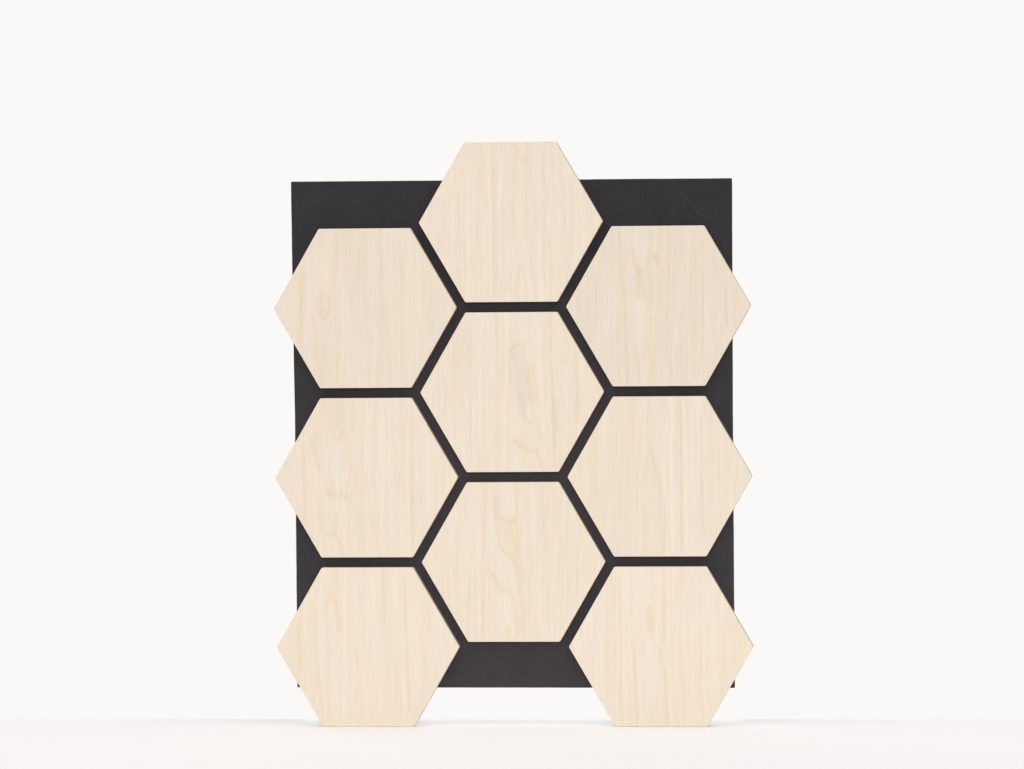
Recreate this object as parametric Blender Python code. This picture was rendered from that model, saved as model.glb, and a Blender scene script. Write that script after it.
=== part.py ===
# Acoustic wall panel: a board of pressed polyester felt that carries hexagonal tiles of
# veneered wood fibreboard in a honeycomb, each held by staples driven through the felt.
#
# Frame: +Z is up, +X is to the viewer's right, the wall lies behind at Y = 0 and the tiles
# face -Y. The origin is the centre of the felt board's back face. All lengths are in metres.

import math

import bmesh
import bpy
from mathutils import Vector

# Honeycomb: columns are named from the viewer's left, rows from the top.
COLUMN_NAMES = ("left", "middle", "right")
ROW_NAMES = ("top", "centre", "bottom")
PITCH = 0.200               # between the centres of neighbouring tiles
GROOVE_WIDTH = 0.012        # between the parallel edges of neighbouring tiles

# Felt backing board
FELT_THICKNESS = 0.009
FELT_TRIM = 0.0007          # each edge stays this far inside the module, so panels close up
FELT_CORNER_RADIUS = 0.0012
FELT_ARRIS = 0.0006         # the pressed board's slightly soft front and back edges

# Tile: a fibreboard core with a wood veneer on its face
CORE_THICKNESS = 0.012
VENEER_THICKNESS = 0.0006
TILE_CORNER_RADIUS = 0.0025
VENEER_EASE = 0.0003        # sanded arris round the veneer's face

# Staple: flat wire with its crown across the panel and both legs driven towards the tile
CROWN_WIDTH = 0.0128
LEG_LENGTH = 0.016
WIRE_THICKNESS = 0.0009
WIRE_WIDTH = 0.0012
POINT_LENGTH = 0.0012       # chisel point at each leg's end
OUTER_BEND = 0.0012
INNER_BEND = 0.0004
STAPLE_SINK = 0.0004        # crown pressed this far below the felt's back
STAPLE_INSET_X = 0.036      # from the felt's side edge to the nearest staple's middle
STAPLE_INSET_Z = 0.021      # from the felt's top edge to the nearest staple's middle

# Fits
SEAT_GAP = 0.0003           # glue line behind each core and each veneer
WIRE_CLEARANCE = 0.0003     # between the staple's wire and its slot and holes

# Smoothness of the round stretches
CORNER_SEGMENTS = 4
BEND_SEGMENTS = 3
ARRIS_SEGMENTS = 2
SMOOTH_BELOW = math.radians(40)

# Worked out from the sizes above
COLUMN_STEP = PITCH * math.sqrt(3) / 2
TILE_FLATS = PITCH - GROOVE_WIDTH
FELT_WIDTH = len(COLUMN_NAMES) * COLUMN_STEP - 2 * FELT_TRIM
FELT_HEIGHT = len(ROW_NAMES) * PITCH - 2 * FELT_TRIM
STAPLE_X = COLUMN_STEP / 2 - FELT_TRIM - STAPLE_INSET_X
STAPLE_Z = PITCH / 4 - FELT_TRIM - STAPLE_INSET_Z
CORE_BACK = -FELT_THICKNESS - SEAT_GAP
VENEER_BACK = CORE_BACK - CORE_THICKNESS - SEAT_GAP

# Name, sRGB colour as three parts of 255, roughness, metallic
MATERIALS = {
    "felt": ((58, 55, 59), 0.95, 0.0),
    "fibreboard": ((168, 136, 104), 0.80, 0.0),
    "veneer": ((232, 214, 190), 0.55, 0.0),
    "staple_wire": ((176, 178, 180), 0.35, 1.0),
}


def clear_scene():
    for item in list(bpy.data.objects):
        bpy.data.objects.remove(item, do_unlink=True)


def linear_colour(srgb):
    """Turn three sRGB parts of 255 into a linear RGBA colour."""
    parts = [part / 255 for part in srgb]
    linear = [p / 12.92 if p <= 0.04045 else ((p + 0.055) / 1.055) ** 2.4 for p in parts]
    return (*linear, 1.0)


def make_material(name):
    srgb, roughness, metallic = MATERIALS[name]
    material = bpy.data.materials.new(name)
    material.use_nodes = True
    shader = material.node_tree.nodes["Principled BSDF"]
    shader.inputs["Base Color"].default_value = linear_colour(srgb)
    shader.inputs["Roughness"].default_value = roughness
    shader.inputs["Metallic"].default_value = metallic
    material.diffuse_color = linear_colour(srgb)
    return material


def rounded_outline(corners, segments):
    """Points of a polygon whose corners, given as (u, v, radius), are turned into arcs."""
    points = []
    for index, (u, v, radius) in enumerate(corners):
        corner = Vector((u, v))
        before = Vector(corners[index - 1][:2])
        after = Vector(corners[(index + 1) % len(corners)][:2])
        if radius == 0:
            points.append(corner)
            continue
        inward = (corner - before).normalized()
        outward = (after - corner).normalized()
        turn = math.atan2(inward.cross(outward), inward.dot(outward))
        side = math.copysign(1.0, turn)
        start = corner - inward * radius * math.tan(abs(turn) / 2)
        centre = start + Vector((-inward.y, inward.x)) * side * radius
        spoke = start - centre
        for step in range(segments + 1):
            angle = turn * step / segments
            turned = Vector((spoke.x * math.cos(angle) - spoke.y * math.sin(angle),
                             spoke.x * math.sin(angle) + spoke.y * math.cos(angle)))
            points.append(centre + turned)
    return points


def extrude_outline(bm, points, travel):
    """Fill a closed row of 3-D points and extrude it along travel, as one closed body."""
    base = bm.faces.new([bm.verts.new(point) for point in points])
    result = bmesh.ops.extrude_face_region(bm, geom=[base])
    top = [item for item in result["geom"] if isinstance(item, bmesh.types.BMVert)]
    bmesh.ops.translate(bm, verts=top, vec=travel)


def finish_mesh(bm, name):
    bmesh.ops.recalc_face_normals(bm, faces=bm.faces)
    mesh = bpy.data.meshes.new(name)
    bm.to_mesh(mesh)
    bm.free()
    mesh.shade_smooth()
    mesh.set_sharp_from_angle(angle=SMOOTH_BELOW)
    return mesh


def round_arrises(bm, depths, width):
    """Round the edges that run in the faces lying at the given depths along Y."""
    edges = [edge for edge in bm.edges
             if any(all(abs(vert.co.y - depth) < 1e-7 for vert in edge.verts) for depth in depths)]
    bmesh.ops.bevel(bm, geom=edges, offset=width, offset_type="OFFSET", affect="EDGES",
                    segments=ARRIS_SEGMENTS, profile=0.5, clamp_overlap=True)


def plate_mesh(name, outline, thickness, arris_depths=(), arris=0.0):
    """A flat plate from Y = 0 to -thickness, with the outline given in X and Z."""
    bm = bmesh.new()
    extrude_outline(bm, [Vector((u, 0, v)) for u, v in outline], Vector((0, -thickness, 0)))
    if arris_depths:
        round_arrises(bm, arris_depths, arris)
    return finish_mesh(bm, name)


def felt_mesh():
    half_width = FELT_WIDTH / 2
    half_height = FELT_HEIGHT / 2
    corners = [(x * half_width, z * half_height, FELT_CORNER_RADIUS)
               for x, z in ((-1, -1), (1, -1), (1, 1), (-1, 1))]
    outline = rounded_outline(corners, CORNER_SEGMENTS)
    return plate_mesh("felt_backing", outline, FELT_THICKNESS, (0.0, -FELT_THICKNESS), FELT_ARRIS)


def hexagon_outline():
    """A regular hexagon with its flats at the top and bottom and its corners rounded."""
    reach = TILE_FLATS / math.sqrt(3)
    corners = [(reach * math.cos(math.radians(60 * k)), reach * math.sin(math.radians(60 * k)),
                TILE_CORNER_RADIUS) for k in range(6)]
    return rounded_outline(corners, CORNER_SEGMENTS)


def core_mesh():
    return plate_mesh("tile_core", hexagon_outline(), CORE_THICKNESS)


def veneer_mesh():
    return plate_mesh("tile_veneer", hexagon_outline(), VENEER_THICKNESS,
                      (-VENEER_THICKNESS,), VENEER_EASE)


def staple_mesh():
    """Flat wire bent into a U, its crown's outer face at Y = 0 and its points towards -Y."""
    outer = CROWN_WIDTH / 2
    middle = outer - WIRE_THICKNESS / 2
    inner = outer - WIRE_THICKNESS
    shoulder = POINT_LENGTH - LEG_LENGTH
    corners = [
        (-outer, shoulder, 0), (-middle, -LEG_LENGTH, 0), (-inner, shoulder, 0),
        (-inner, -WIRE_THICKNESS, INNER_BEND), (inner, -WIRE_THICKNESS, INNER_BEND),
        (inner, shoulder, 0), (middle, -LEG_LENGTH, 0), (outer, shoulder, 0),
        (outer, 0, OUTER_BEND), (-outer, 0, OUTER_BEND),
    ]
    bm = bmesh.new()
    outline = rounded_outline(corners, BEND_SEGMENTS)
    extrude_outline(bm, [Vector((u, v, -WIRE_WIDTH / 2)) for u, v in outline],
                    Vector((0, 0, WIRE_WIDTH)))
    return finish_mesh(bm, "staple")


def staple_places():
    """Middles of one tile's four staples, in X and Z from the tile's centre."""
    return [(x * STAPLE_X, z * STAPLE_Z) for z in (1, -1) for x in (-1, 1)]


def pocket_cutter_mesh():
    """The slots and leg holes that one tile's staples leave in the felt and the core."""
    outer = CROWN_WIDTH / 2 + WIRE_CLEARANCE
    inner = CROWN_WIDTH / 2 - WIRE_THICKNESS - WIRE_CLEARANCE
    half_width = WIRE_WIDTH / 2 + WIRE_CLEARANCE
    behind = FELT_THICKNESS
    crown_seat = -STAPLE_SINK - WIRE_THICKNESS - WIRE_CLEARANCE
    hole_end = -STAPLE_SINK - LEG_LENGTH - WIRE_CLEARANCE
    outline = [
        (-outer, behind), (-outer, hole_end), (-inner, hole_end), (-inner, crown_seat),
        (inner, crown_seat), (inner, hole_end), (outer, hole_end), (outer, behind),
    ]
    bm = bmesh.new()
    for x, z in staple_places():
        extrude_outline(bm, [Vector((x + u, v, z - half_width)) for u, v in outline],
                        Vector((0, 0, 2 * half_width)))
    return finish_mesh(bm, "staple_pockets")


def add_object(name, data, parent, location=(0, 0, 0), material=None):
    item = bpy.data.objects.new(name, data)
    bpy.context.scene.collection.objects.link(item)
    item.parent = parent
    item.location = location
    if material is not None and not data.materials:
        data.materials.append(material)
    return item


def cut_with(item, cutter):
    cut = item.modifiers.new("cut " + cutter.name, "BOOLEAN")
    cut.operation = "DIFFERENCE"
    cut.solver = "EXACT"
    cut.object = cutter


def tile_centre(column, row):
    """Centre of a tile: every second column stands half a pitch lower than its neighbour."""
    x = (column - (len(COLUMN_NAMES) - 1) / 2) * COLUMN_STEP
    z = ((len(ROW_NAMES) - 1) / 2 - row) * PITCH
    lift = PITCH / 4 if column % 2 else -PITCH / 4
    return Vector((x, 0, z + lift))


def build_panel():
    clear_scene()
    materials = {name: make_material(name) for name in MATERIALS}
    panel = add_object("panel", None, None)
    felt = add_object("felt_backing", felt_mesh(), panel, material=materials["felt"])
    core_data, veneer_data, staple_data = core_mesh(), veneer_mesh(), staple_mesh()
    pocket_data = pocket_cutter_mesh()

    for column, column_name in enumerate(COLUMN_NAMES):
        for row, row_name in enumerate(ROW_NAMES):
            place = column_name + "_" + row_name
            tile = add_object("tile_" + place, None, panel, tile_centre(column, row))
            pockets = add_object("cutter_" + place, pocket_data, tile)
            pockets.hide_render = True
            pockets.display_type = "WIRE"
            core = add_object("tile_core_" + place, core_data, tile,
                              (0, CORE_BACK, 0), materials["fibreboard"])
            add_object("tile_veneer_" + place, veneer_data, tile,
                       (0, VENEER_BACK, 0), materials["veneer"])
            cut_with(felt, pockets)
            cut_with(core, pockets)
            for number, (x, z) in enumerate(staple_places(), start=1):
                add_object("staple_" + place + "_" + str(number), staple_data, tile,
                           (x, -STAPLE_SINK, z), materials["staple_wire"])

    bpy.context.view_layer.update()


build_panel()
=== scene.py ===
import math

import bmesh
import bpy
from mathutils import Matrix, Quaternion, Vector, noise


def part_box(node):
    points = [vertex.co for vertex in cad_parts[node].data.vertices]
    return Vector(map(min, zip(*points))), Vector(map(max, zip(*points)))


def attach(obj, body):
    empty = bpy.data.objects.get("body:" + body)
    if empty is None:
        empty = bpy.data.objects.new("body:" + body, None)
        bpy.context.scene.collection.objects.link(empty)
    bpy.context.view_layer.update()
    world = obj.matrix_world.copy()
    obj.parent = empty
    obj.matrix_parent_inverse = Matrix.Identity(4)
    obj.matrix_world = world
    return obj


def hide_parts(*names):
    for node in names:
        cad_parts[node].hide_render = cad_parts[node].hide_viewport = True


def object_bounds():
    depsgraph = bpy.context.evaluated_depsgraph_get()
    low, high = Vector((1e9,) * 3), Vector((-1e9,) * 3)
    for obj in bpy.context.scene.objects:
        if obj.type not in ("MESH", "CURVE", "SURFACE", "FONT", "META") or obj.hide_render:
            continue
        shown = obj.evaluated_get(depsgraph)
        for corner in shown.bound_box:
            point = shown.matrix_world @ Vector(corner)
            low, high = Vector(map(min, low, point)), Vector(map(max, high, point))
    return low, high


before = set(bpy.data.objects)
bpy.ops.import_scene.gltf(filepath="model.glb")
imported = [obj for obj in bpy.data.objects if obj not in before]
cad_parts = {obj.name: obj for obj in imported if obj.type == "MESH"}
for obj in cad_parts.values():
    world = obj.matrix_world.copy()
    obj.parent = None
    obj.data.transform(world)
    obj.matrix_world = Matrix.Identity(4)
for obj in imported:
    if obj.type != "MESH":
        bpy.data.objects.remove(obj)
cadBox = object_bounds()

mm = 0.001  # the frame is in metres, the sizes below are easier to read in millimetres
noiseSpan = {"From Min": 0.3, "From Max": 0.7}  # nearly all of a noise texture's values lie in this


# Colours and nodes

def linear(hexColour):
    # sRGB hex to the linear colour that the shaders want
    parts = [int(hexColour[i:i + 2], 16) / 255 for i in (1, 3, 5)]
    return [p / 12.92 if p <= 0.04045 else ((p + 0.055) / 1.055) ** 2.4 for p in parts] + [1.0]


def addNode(tree, kind, inputs=None, **settings):
    # inputs: a socket's name, or its place among the open ones -> a value, or the node to link from
    node = tree.nodes.new("ShaderNode" + kind)
    node.location = (190 * (len(tree.nodes) % 12), -260 * (len(tree.nodes) // 12))
    for name, value in settings.items():
        setattr(node, name, value)
    openSockets = [socket for socket in node.inputs if socket.enabled]
    for key, value in (inputs or {}).items():
        socket = openSockets[key] if isinstance(key, int) else node.inputs[key]
        if isinstance(value, bpy.types.Node):
            value = next(output for output in value.outputs if output.enabled)
        if isinstance(value, bpy.types.NodeSocket):
            tree.links.new(value, socket)
        else:
            socket.default_value = value
    return node


def newMaterial(name, roughness, ior=1.5, metallic=0.0, **uniform):
    # Uniform numbers stay on the shader's own sockets
    material = bpy.data.materials.new(name)
    material.use_nodes = True
    shader = material.node_tree.nodes["Principled BSDF"]
    shader.inputs["Roughness"].default_value = roughness
    shader.inputs["IOR"].default_value = ior
    shader.inputs["Metallic"].default_value = metallic
    for socket, value in uniform.items():
        shader.inputs[socket.replace("_", " ")].default_value = value
    return material, material.node_tree, shader


def dress(node, material):
    # A carried-over CAD node keeps its mesh and gets a better material
    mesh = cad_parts[node].data
    mesh.materials.clear()
    mesh.materials.append(material)


# Veneer

veneer = {
    "pale": "#CFC3BA",        # wood between the rings, limed
    "warm": "#C4B297",        # denser wood, yellower
    "ring": "#C0AA88",        # the dark end of a year ring
    "cool": "#C3BFB8",        # where the lime stays in the pores
    "grey": "#C3BCB3",
    "straw": "#CEBDA0",
    "edge": "#C3B5A0",        # the sanded edge, browner than the face
    # mm that the grain wanders, and over what width and length: first slowly, then on the way
    "sway": ((3.2, 70, 190), (1.0, 14, 45)),
    # Stripes, width and length in mm, strength: broad bands, two sizes of growth line, short flecks
    "layers": ((14, 160, 0.75), (2.4, 100, 0.6), (2.0, 34, 0.42), (1.3, 9, 0.34)),
    "hue": (3.3, 80, 0.35),   # stripes from grey to straw: width and length in mm, share
    # Thin ring ends at uneven distances, and bands where the lime stayed:
    # colour, width and length in mm, the noise value that they follow, how far from it, strength
    "ringEnds": (("ring", 7, 300, 0.5, 0.03, 0.2), ("ring", 11, 260, 0.42, 0.025, 0.16),
                 ("cool", 6, 280, 0.6, 0.07, 0.2)),
    "poreSize": (1.1, 26),    # mm across and along: real pores are 0.3 mm wide, too fine to show
    "denseFibres": (1.8, 80, 0.012),          # mm across and along, how much they darken the wood
    "fibreSize": (1.5, 24),   # mm across and along, the bundles that a figure frays into
    "ragged": (1.0, 7.0),     # mm across and along that its outline frays
    # Noise values between which a bundle comes to show the figure, and the least that each shows
    "broken": (0.34, 0.58, 0.5),
    "strokeEdge": (0.2, 1.25),                # half widths, between which a stroke fades out sideways
    "longLine": 40,           # mm: a longer stroke fades out slowly at both ends
    "fade": 5,                # how slowly, in half widths
    "edgeShare": 0.7,         # how much of the edge's colour shows at the tile's side
    "relief": 0.02,           # mm that the fibres stand proud under the thin lacquer
    "roughness": 0.5,
    "satin": (0.44, 0.56),    # the roughness varies between these
}

# Colours of the figure: wood that shows through the lime, or is stained by minerals.
# The second number is how much of the colour shows where a stroke's own strength is 1
figureColours = {
    "tan": ("#C4B295", 0.62),
    "orange": ("#C5B090", 0.66),
    "brown": ("#BEA783", 0.5),
    "ice": ("#C8BFB1", 0.85),
    "rose": ("#CDBFB2", 0.85),
    "limed": ("#D1C6B5", 0.6),
    "mineral": ("#B8B2A9", 0.7),
    "shade": ("#BDB09E", 0.75),
}

# The figure of each tile, in mm from the tile's centre.
# tone: how much the tile's colours are scaled, lighter in the outer tiles of the lower row and darker in
# those of the top row; pores: how much pores darken and the fibres between lighten it
# bends: x, z, half width, half height, mm that the rings are pushed aside, mm that they are spread
# strokes: colour, strength, half width, then the points x, z that the stroke follows
tileFigures = {
    "left_top": {
        "tone": 0.981,
        "pores": 0.014,
        "bends": [(-48.7, 4, 22, 52, 0, 6)],
        "strokes": [
            ("ice", 0.6, 9, (-46, -16), (-42, -40)), ("limed", 0.5, 9, (-49, 26), (-48, 66)),
            ("limed", 0.35, 9, (60, 60), (64, -60)), ("shade", 0.2, 14, (-20, 80), (-18, 10)),
            ("mineral", 0.4, 3, (-48.5, -2), (-48.5, 9)),
            ("brown", 0.7, 2.4, (-43, -3), (-42.3, 6), (-44.5, 15), (-48.6, 19), (-52.8, 15),
             (-54.8, 6), (-54.3, -3)),
            ("orange", 1.0, 3.4, (-54.3, -3), (-51.5, -9), (-48.5, -11), (-45, -8.5), (-43, -3)),
            ("brown", 0.55, 1.6, (-42, 6), (-38.5, 20), (-37, 40)),
            ("tan", 0.5, 1.5, (-55.5, 8), (-57, 24), (-58.5, 46)),
            ("brown", 0.6, 2.6, (-29.5, -18), (-28.5, -38)), ("brown", 0.5, 1.6, (-62, -5), (-60, -60)),
            ("orange", 0.8, 2.6, (-54, -64), (-51.5, -92)), ("orange", 0.6, 2.2, (-32, -56), (-34.5, -92)),
            ("orange", 0.6, 3.6, (-54.5, 86), (-52, 74)), ("brown", 0.7, 2.3, (-76, 34), (-75.5, -44)),
            ("tan", 0.7, 1.6, (-34, 84), (-34.3, 24)), ("tan", 0.7, 1.8, (-33, -24), (-33.3, -90)),
            ("tan", 0.55, 1.5, (1.2, 90), (1.2, -24)), ("tan", 0.55, 1.5, (18.9, 90), (19.5, -80)),
            ("tan", 0.75, 1.7, (41.4, 80), (43.8, 10), (42.6, -80)),
            ("tan", 0.45, 1.5, (68.6, 30), (68.6, -40)), ("limed", 0.5, 2, (-28.4, 90), (-26, -60)),
            ("limed", 0.5, 2.2, (50.5, 50), (49.7, -70)),
        ],
    },
    "left_centre": {
        "tone": 1.005,
        "pores": 0.028,
        "bends": [(-38, 20, 34, 100, 0, 8)],
        "strokes": [
            ("shade", 0.6, 10, (-33, 92), (-35, 64)), ("ice", 0.8, 12, (-36, 30), (-35, 0)),
            ("orange", 0.75, 2.4, (-49, 92), (-44, 70), (-40, 56)),
            ("brown", 0.6, 1.8, (-22.5, 90), (-25, 62), (-30, 51)),
            ("orange", 0.9, 4.2, (-39, 50), (-33.5, 46), (-29, 52)),
            ("brown", 0.6, 2.9, (-64.5, 46), (-57.5, 16), (-49, -9), (-46, -16)),
            ("orange", 0.95, 3.2, (-46, -16), (-43.8, -21.5), (-39.3, -17), (-35, -22.5), (-30.5, -17.5),
             (-26, -26)),
            ("brown", 0.6, 2.6, (-25.5, -22), (-21, -3), (-18.5, 12)),
            ("brown", 0.55, 1.7, (-58.5, -34), (-54, -56), (-51, -64)),
            ("orange", 0.85, 3, (-52, -63), (-45, -67.5), (-38, -66)),
            ("orange", 0.85, 2.6, (-38, -66), (-31.5, -77), (-28, -92)),
            ("shade", 0.4, 2, (-54, -38), (-48, -52)), ("shade", 0.5, 3, (-16, 90), (-16, 54)),
            ("shade", 0.5, 4, (-58, 54), (-58, 42)), ("brown", 0.75, 2.8, (-75.5, 34), (-73, -48)),
            ("tan", 0.75, 1.5, (-3.5, 90), (-4.7, 0), (-4.7, -90)), ("tan", 0.6, 1.5, (10.6, 90), (9, 20)),
            ("tan", 0.6, 1.5, (23.7, 86), (24.4, -84)), ("brown", 0.7, 1.7, (54.4, 76), (54.4, -76)),
            ("tan", 0.55, 1.5, (63.9, 20), (64, -30)), ("brown", 0.6, 1.6, (31.9, -24), (32, -60)),
            ("limed", 0.6, 2.2, (18.4, 90), (20.1, 0), (16, -80)),
            ("limed", 0.6, 2.2, (48.5, 60), (49.7, -80)), ("limed", 0.5, 2, (-66, 24), (-66, -20)),
        ],
    },
    "left_bottom": {
        "tone": 1.02,
        "pores": 0.012,
        "bends": [(-42, 46, 20, 46, 0, 4), (-58, -94, 22, 80, -3, 0)],
        "strokes": [
            ("shade", 0.5, 9.5, (-41, 92), (-41, 68)), ("rose", 0.4, 11, (-38, -40), (-38, -90)),
            ("ice", 0.9, 4, (-56, 62), (-56.5, 20), (-54, -34)),
            ("mineral", 0.4, 3, (-52, -12), (-51, -28)),
            ("orange", 0.9, 3.8, (-50, 48), (-45, 61), (-39, 54)),
            ("orange", 1.0, 3.6, (-39, 54), (-34.5, 34), (-33, 20)),
            ("brown", 0.5, 1.6, (-50.5, 58), (-49.5, 36)),
            ("tan", 0.8, 2.2, (-62.5, 40), (-61.5, 0), (-58.5, -38)),
            ("orange", 0.9, 2.4, (-58.5, -38), (-54.5, -70), (-53.5, -92)),
            ("tan", 0.75, 1.6, (-21.3, 60), (-21.3, -92)), ("tan", 0.5, 1.5, (-13, 20), (-12.5, -24)),
            ("brown", 0.6, 1.6, (18.9, 92), (19.5, 26)), ("tan", 0.5, 1.5, (23.7, -24), (23.7, -80)),
            ("brown", 0.65, 1.7, (43.8, 84), (46.1, 0), (49.7, -80)),
            ("brown", 0.7, 1.9, (-81.6, 24), (-80, -26)), ("tan", 0.7, 1.8, (72, 56), (73.4, 0)),
            ("tan", 0.5, 1.6, (84, 10), (84, -14)), ("limed", 0.6, 2.2, (-26, 90), (-30, -80)),
            ("limed", 0.45, 2.2, (31, 80), (31, 30)), ("limed", 0.45, 2.2, (50.5, 40), (50, -10)),
            ("limed", 0.5, 2, (41.4, -24), (42, -70)),
        ],
    },
    "middle_top": {
        "tone": 1.006,
        "pores": 0.03,
        "bends": [(13, -100, 28, 70, 0, 6), (-6, 20, 14, 30, 3, 0)],
        "strokes": [
            ("ice", 0.6, 6, (10, 44), (12.5, -44)), ("orange", 0.6, 3.4, (11, 84), (13, 72)),
            ("brown", 0.6, 2.2, (17.8, 76), (18.2, 64)), ("tan", 0.5, 1.5, (18.9, 64), (18.9, -20)),
            ("tan", 0.65, 1.7, (6, 92), (7, 60), (7.5, 36)),
            ("shade", 0.55, 1.1, (-10.5, 28), (-8, 12), (-3, -4)), ("tan", 0.7, 1.5, (2.4, 60), (2.4, -20)),
            ("brown", 0.5, 1.4, (-10.6, 24), (-10.4, -30)),
            ("orange", 0.75, 2.3, (4, -88), (8.5, -62), (11.5, -48)),
            ("orange", 0.7, 2, (12, -48), (16, -64), (20.5, -88)),
            ("orange", 0.75, 2, (-12.5, -92), (-4, -74), (2, -58)),
            ("brown", 0.6, 1.8, (25, -56), (30, -92)), ("brown", 0.75, 1.8, (-20.5, 92), (-20.1, -90)),
            ("tan", 0.6, 1.4, (-17, 92), (-17, 30)), ("orange", 0.55, 2, (-16.8, -60), (-17, -92)),
            ("tan", 0.45, 1.4, (-31.9, 90), (-31.9, 30)), ("brown", 0.8, 1.8, (-61.5, 36), (-61.5, -30)),
            ("tan", 0.7, 1.7, (-53.2, -20), (-53.2, -66)), ("tan", 0.6, 1.6, (-45, -24), (-45, -78)),
            ("brown", 0.6, 1.8, (37.9, 90), (39, 0), (40.2, -76)),
            ("brown", 0.65, 1.8, (72.2, 44), (72.2, -40)), ("limed", 0.7, 2.2, (-24.2, 92), (-23.7, -90)),
            ("limed", 0.65, 2.2, (-13, 92), (-14, 0), (-13, -60)), ("limed", 0.5, 2, (-50, 60), (-50, -60)),
            ("limed", 0.55, 2, (-68.6, 26), (-68, -20)), ("limed", 0.4, 2, (35.5, -24), (35.5, -80)),
            ("shade", 0.3, 8, (62, 40), (64, -40)), ("shade", 0.35, 6, (-79, 20), (-79, -24)),
        ],
    },
    "middle_centre": {
        "tone": 1.004,
        "pores": 0.019,
        "bends": [(10, 18, 26, 74, 0, 7), (26, -110, 44, 96, -11, 0)],
        "strokes": [
            ("ice", 0.7, 12, (9, 92), (11, 68)), ("ice", 0.75, 9, (6, -78), (8, -90)),
            ("rose", 0.5, 8, (2, -22), (4, -52)), ("mineral", 0.3, 6, (9, 50), (12, -14)),
            ("brown", 0.5, 2.1, (-1, 10), (-3, 34), (-1, 49)),
            ("brown", 0.85, 3.4, (-0.5, 50), (5, 55), (10, 56)), ("orange", 0.7, 2.4, (10, 56), (16, 57)),
            ("brown", 0.65, 1.7, (15, 57), (14.2, 40), (15.4, 16), (19, -8)),
            ("mineral", 0.85, 4, (2.5, 42), (8.5, 18), (10, -6), (12, -26)),
            ("mineral", 0.6, 1.8, (11, -8), (14.5, -26), (22, -38)),
            ("shade", 0.8, 1.1, (1.5, 41), (6, 27)), ("shade", 0.8, 1.2, (7.5, 2), (8.5, -9)),
            ("shade", 0.7, 1.2, (21, -34), (23, -39)),
            ("orange", 0.8, 8, (21.5, 28), (23.5, 10), (26.5, -7)),
            ("brown", 0.6, 1.7, (19, 26), (20.5, 0), (24, -18)),
            ("tan", 0.7, 1.6, (15.5, -11), (24, -30), (33, -50), (37.5, -86)),
            ("shade", 0.6, 1.2, (19, -4), (29, -34), (39, -62)),
            ("tan", 0.55, 1.3, (11, -14), (17, -34), (26, -60)),
            ("orange", 1.15, 3.8, (1.5, -57), (9, -62), (16.5, -68), (28.5, -70)),
            ("orange", 0.95, 2.9, (28.5, -70), (33, -84), (36, -93)),
            ("brown", 0.9, 2, (46.1, 92), (47, 40), (48.5, -10)),
            ("brown", 0.9, 2.5, (48.5, -10), (50, -66)), ("brown", 0.8, 3, (75.7, 44), (77, -30)),
            ("brown", 0.7, 1.8, (-17.7, 92), (-17.7, 30)), ("tan", 0.7, 1.6, (-17.7, 30), (-18.9, -92)),
            ("brown", 0.65, 1.7, (-48.5, 78), (-48.8, -76)), ("tan", 0.5, 1.5, (-56.8, 40), (-56.8, -40)),
            ("brown", 0.7, 1.8, (-79.3, 20), (-79, -24)), ("limed", 0.5, 2, (-5.9, 92), (-9.5, -90)),
            ("limed", 0.7, 2.4, (30.8, 90), (33, 20), (36, -30), (39, -80)),
            ("limed", 0.6, 2.2, (63.9, 50), (64, -40)), ("limed", 0.5, 2, (-37.9, 24), (-38, -60)),
        ],
    },
    "middle_bottom": {
        "tone": 1.004,
        "pores": 0.015,
        "bends": [(-12, 10, 40, 110, -4, 9)],
        "strokes": [
            ("rose", 0.6, 9, (-4, 92), (-4, 58)), ("limed", 0.6, 12, (-13, -46), (-12, -76)),
            ("tan", 0.85, 4, (-20.5, 86), (-17.5, 52)), ("tan", 0.6, 12, (-9, 46), (-6, 30)),
            ("tan", 0.6, 9, (-3, 32), (3, 2)), ("ice", 1.0, 3.6, (-26, 70), (-28, 40)),
            ("ice", 1.0, 6, (-27, 42), (-24, 14)), ("ice", 1.0, 9, (-22, 13), (-9, -3)),
            ("ice", 1.0, 5.5, (-8, -2), (0, -26)), ("ice", 0.9, 3, (0, -24), (5, -66)),
            ("brown", 0.7, 1.8, (-22, 78), (-19.5, 52), (-16.5, 20), (-9, 11), (1, 0.5), (6, -14),
             (8, -34)),
            ("orange", 1.0, 3.8, (-14, 54), (-8, 48), (-2, 46), (3, 51)),
            ("brown", 0.6, 1.7, (3.5, 92), (4.5, 52), (7, 10)),
            ("tan", 0.7, 1.7, (7.1, 10), (7.5, -30), (10.6, -90)),
            ("orange", 0.75, 4, (-29.5, -8), (-24, -14)),
            ("orange", 0.95, 3.2, (-24, -14), (-19, -26), (-13, -34), (-5, -34)),
            ("tan", 0.7, 2, (-5, -34), (1, -46), (4, -60), (6, -84)),
            ("tan", 0.9, 4.5, (-7.5, -78), (-7.5, -92)),
            ("brown", 0.7, 2.1, (-31.9, 86), (-35.5, 10), (-36.7, -88)),
            ("brown", 0.6, 1.7, (35.5, 90), (37, 30), (39, -10)),
            ("tan", 0.75, 1.8, (39, -10), (41.4, -84)),
            ("tan", 0.7, 1.8, (-66.3, 44), (-66.3, -40)), ("tan", 0.55, 1.5, (58, 30), (58, -40)),
            ("tan", 0.55, 1.5, (74.5, 34), (74.5, -30)), ("tan", 0.5, 1.5, (17.7, -24), (17.7, -90)),
            ("mineral", 0.45, 2, (-52, -14), (-52, -48)), ("shade", 0.35, 5, (-50, 88), (-50, 76)),
            ("limed", 0.5, 2, (-55.6, 50), (-55.6, -40)), ("limed", 0.5, 2, (-31.5, -20), (-31.9, -88)),
            ("limed", 0.5, 2.2, (24.8, 90), (24.8, -40)), ("limed", 0.5, 2, (80.5, 16), (80.5, -20)),
        ],
    },
    "right_top": {
        "tone": 0.962,
        "pores": 0.02,
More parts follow.
